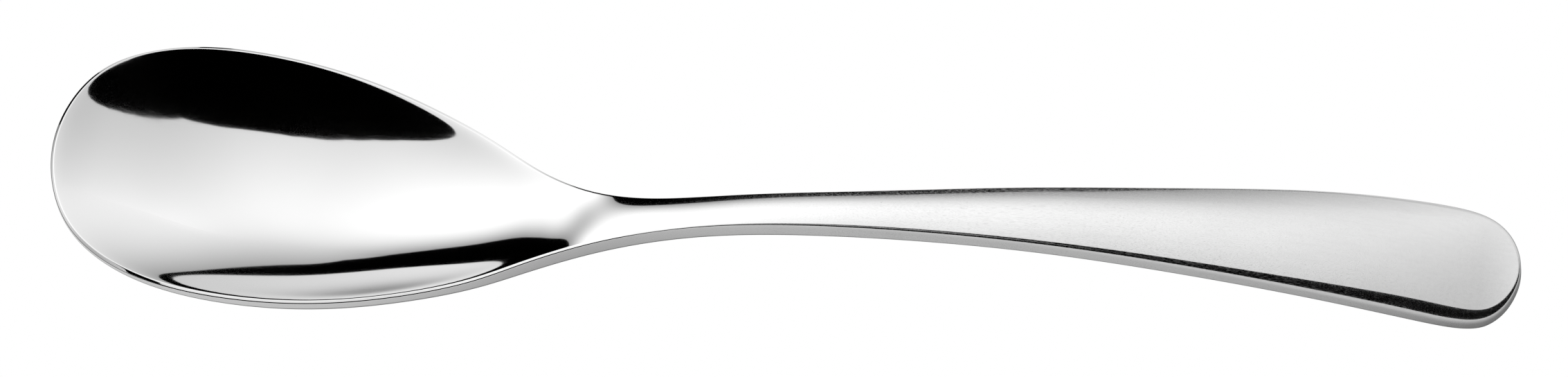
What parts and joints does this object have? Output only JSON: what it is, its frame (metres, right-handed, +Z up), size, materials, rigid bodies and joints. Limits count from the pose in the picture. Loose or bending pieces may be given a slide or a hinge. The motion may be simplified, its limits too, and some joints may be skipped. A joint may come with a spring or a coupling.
{
  "type": "coffee spoon",
  "caption": "Polished steel coffee spoon: an egg-shaped hollow bowl, a slender neck and an arched handle that widens to a rounded end, for stirring and lifting small amounts.",
  "frame": {"origin": "centre of the plan box on the table plane the spoon lies on", "axes": "+X from the tip of the bowl to the end of the handle, +Y across, +Z up from the table, bowl open upwards"},
  "size_m": [0.14, 0.0308, 0.0125],
  "materials": {
    "steel": "mirror-polished stainless steel, bare metal"
  },
  "bodies": {
    "root": {"bowl": "steel", "neck": "steel", "handle": "steel"}
  },
  "joints": []
}
